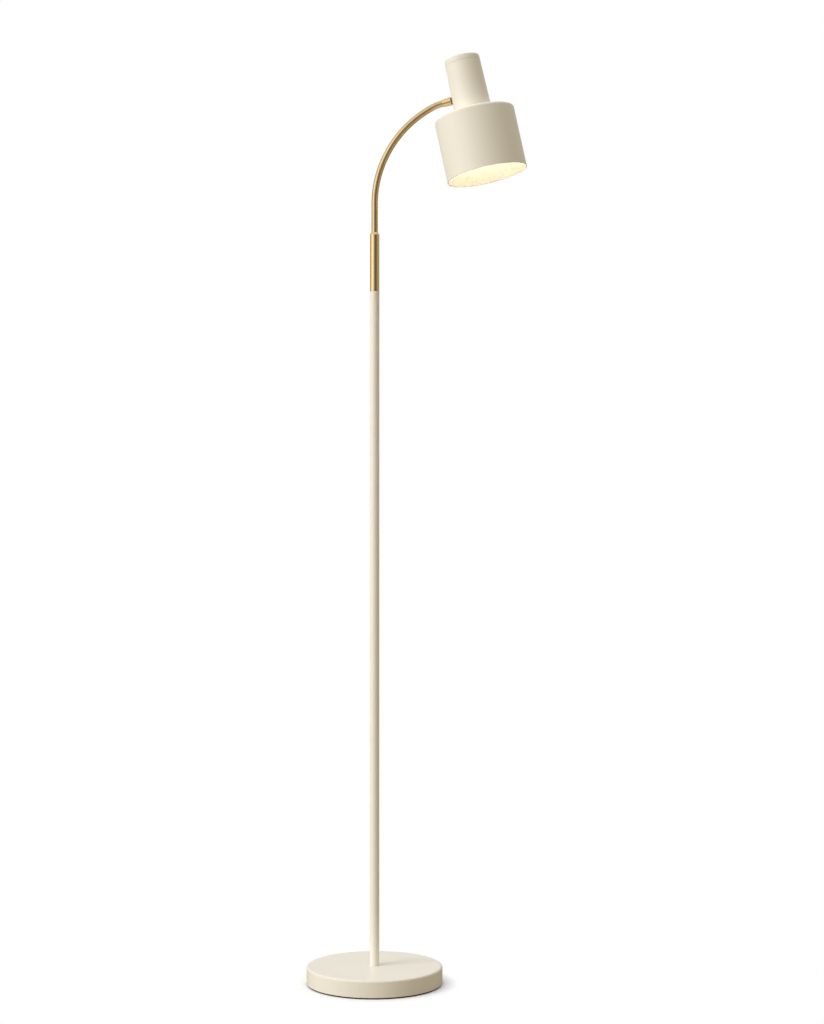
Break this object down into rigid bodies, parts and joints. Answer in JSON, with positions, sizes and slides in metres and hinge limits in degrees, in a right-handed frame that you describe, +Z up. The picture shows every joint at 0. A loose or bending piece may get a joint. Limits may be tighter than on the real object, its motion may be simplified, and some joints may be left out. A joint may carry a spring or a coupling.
{
  "type": "gooseneck pharmacy floor lamp",
  "caption": "Floor lamp: weighted disc base, slim pole with brass sleeve, flexible gooseneck arm, and a swivelling head with a closed neck and a wide open drum shade.",
  "frame": {"origin": "middle of the base's underside, on the pole's axis, where the pad meets the floor", "axes": "+Z up along the pole, +X the way the gooseneck leans over, +Y to the back, where the cord bush is"},
  "size_m": [0.3754, 0.2318, 1.5691],
  "materials": {
    "cream_paint": "smooth satin powder coat, warm cream",
    "brass": "satin lacquered brass",
    "gooseneck_brass": "brass-plated wound wire, satin",
    "zinc_steel": "zinc plated",
    "cast_iron": "rough casting, dark primer",
    "rubber": "matt moulded rubber",
    "pad": "matt foam rubber sheet",
    "fibre": "dark vulcanised fibre",
    "holder_moulding": "glazed porcelain",
    "opal_glass": "opal coated glass, lit",
    "bulb_insulator": "black glass"
  },
  "bodies": {
    "stand": {"base_pad": "pad", "base_cover": "cream_paint", "base_weight": "cast_iron", "cord_bush": "rubber", "base_stud": "zinc_steel", "base_washer": "zinc_steel", "base_nut": "zinc_steel", "pole_foot_plug": "zinc_steel", "pole_lower": "cream_paint", "pole_joint_lower": "zinc_steel", "pole_middle": "cream_paint", "pole_joint_upper": "zinc_steel", "pole_upper": "cream_paint", "sleeve_joint": "zinc_steel", "sleeve": "brass", "arm_socket": "brass", "gooseneck_1": "gooseneck_brass"},
    "arm_foot": {"gooseneck_2": "gooseneck_brass"},
    "arm_low_1": {"gooseneck_3": "gooseneck_brass"},
    "arm_low_2": {"gooseneck_4": "gooseneck_brass"},
    "arm_low_3": {"gooseneck_5": "gooseneck_brass"},
    "arm_high_1": {"gooseneck_6": "gooseneck_brass"},
    "arm_high_2": {"gooseneck_7": "gooseneck_brass"},
    "arm_tip": {"gooseneck_8": "gooseneck_brass", "arm_ferrule": "brass", "ferrule_washer": "zinc_steel", "ferrule_nut": "zinc_steel"},
    "head": {"swivel_washer": "fibre", "neck_housing": "cream_paint", "neck_cap": "cream_paint", "neck_ring": "zinc_steel", "drum_shade": "cream_paint", "shade_screw_1": "zinc_steel", "shade_screw_2": "zinc_steel", "shade_screw_3": "zinc_steel", "holder_bracket": "zinc_steel", "holder_nipple": "zinc_steel", "holder_nut": "zinc_steel", "holder_cap": "holder_moulding", "holder_body": "holder_moulding", "holder_shell": "brass", "holder_contact": "brass", "bulb_glass": "opal_glass", "bulb_cap": "zinc_steel", "bulb_insulator": "bulb_insulator", "bulb_tip": "zinc_steel"}
  },
  "joints": [
    {"name": "gooseneck_side_bend", "type": "hinge", "parent": "stand", "child": "arm_foot", "pos_m": [0, 0, 1.2855], "axis": [1, 0, 0], "range_deg": [-30, 30]},
    {"name": "low_bend_first", "type": "hinge", "parent": "arm_foot", "child": "arm_low_1", "pos_m": [0, 0, 1.3135], "axis": [0, 1, 0], "range_deg": [-15, 7]},
    {"name": "low_bend", "type": "hinge", "parent": "arm_low_1", "child": "arm_low_2", "pos_m": [0.00278, 0, 1.35334], "axis": [0, 1, 0], "range_deg": [-15, 7]},
    {"name": "low_bend_last", "type": "hinge", "parent": "arm_low_2", "child": "arm_low_3", "pos_m": [0.01417, 0, 1.3916], "axis": [0, 1, 0], "range_deg": [-15, 7]},
    {"name": "high_bend_first", "type": "hinge", "parent": "arm_low_3", "child": "arm_high_1", "pos_m": [0.0338, 0, 1.42636], "axis": [0, 1, 0], "range_deg": [-15, 7]},
    {"name": "high_bend", "type": "hinge", "parent": "arm_high_1", "child": "arm_high_2", "pos_m": [0.06068, 0, 1.45587], "axis": [0, 1, 0], "range_deg": [-15, 7]},
    {"name": "high_bend_last", "type": "hinge", "parent": "arm_high_2", "child": "arm_tip", "pos_m": [0.09347, 0, 1.47865], "axis": [0, 1, 0], "range_deg": [-15, 7]},
    {"name": "head_swivel", "type": "hinge", "parent": "arm_tip", "child": "head", "pos_m": [0.13251, 0, 1.49144], "axis": [0.9767, 0, 0.2147], "range_deg": [-90, 90]}
  ],
  "couplings": [
    {"joint": "low_bend_first", "follows": "low_bend", "ratio": 1},
    {"joint": "low_bend_last", "follows": "low_bend", "ratio": 1},
    {"joint": "high_bend_first", "follows": "high_bend", "ratio": 1},
    {"joint": "high_bend_last", "follows": "high_bend", "ratio": 1}
  ]
}
